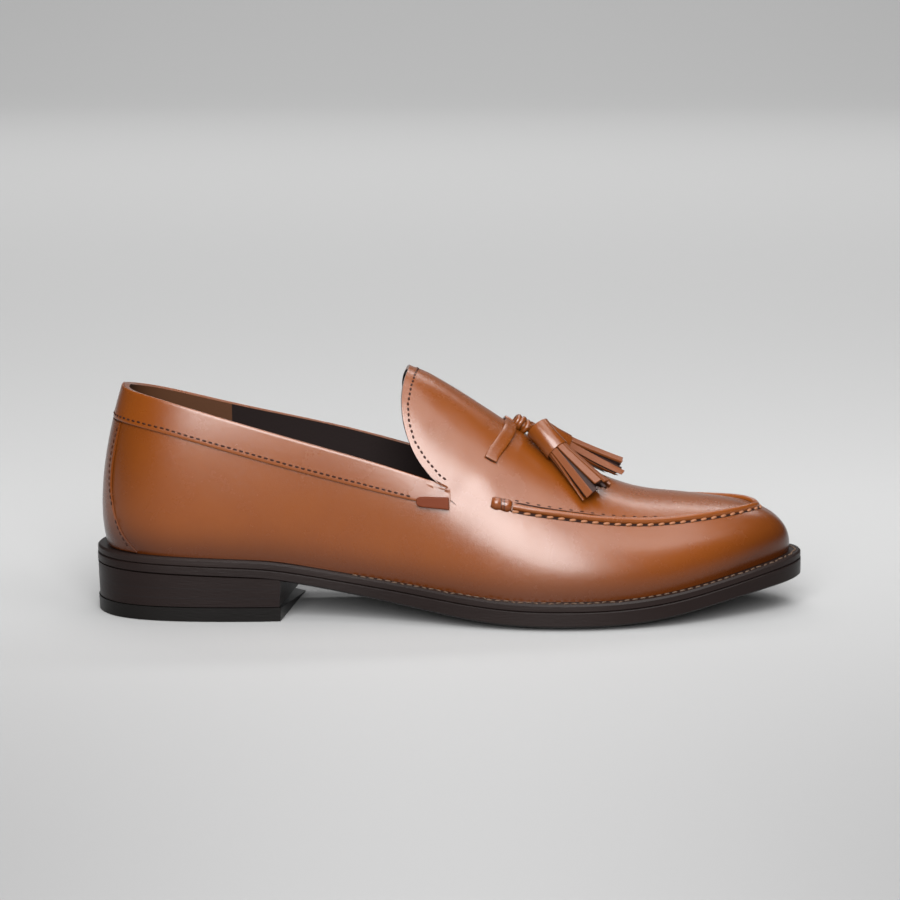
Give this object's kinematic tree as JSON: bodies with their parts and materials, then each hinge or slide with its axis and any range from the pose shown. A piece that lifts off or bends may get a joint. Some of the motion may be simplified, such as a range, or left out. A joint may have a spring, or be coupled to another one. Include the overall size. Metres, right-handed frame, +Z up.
{
  "type": "tassel loafer",
  "caption": "Slip-on leather loafer with a raised apron seam, a folded collar, laced tassels and a low stacked heel.",
  "frame": {"origin": "bottom centre of the sole, on the floor under the middle of its length and width", "axes": "+X to the toe, +Y to the inner (medial) side of this right shoe, +Z up"},
  "size_m": [0.3, 0.1038, 0.1043],
  "materials": {
    "leather": "smooth, semi-gloss",
    "trim_leather": "smooth, semi-gloss",
    "tassel_leather": "smooth, satin",
    "sole_edge": "polished edge",
    "rubber": "matt",
    "footbed": "matt"
  },
  "bodies": {
    "root": {"outsole": "sole_edge", "welt": "sole_edge", "heel_stack": "sole_edge", "heel_top_piece": "rubber", "insole": "footbed", "upper": "leather", "backstay": "leather", "apron_roll": "leather", "collar_band": "trim_leather", "tab_lateral": "trim_leather", "tab_medial": "trim_leather", "roll_wrap_lateral": "trim_leather", "roll_wrap_medial": "trim_leather", "strap_lateral": "trim_leather", "strap_medial": "trim_leather", "knot": "trim_leather", "tassel_cap_near": "tassel_leather", "tassel_cap_far": "tassel_leather", "tassel_fringe_near": "tassel_leather", "tassel_fringe_far": "tassel_leather"}
  },
  "joints": []
}
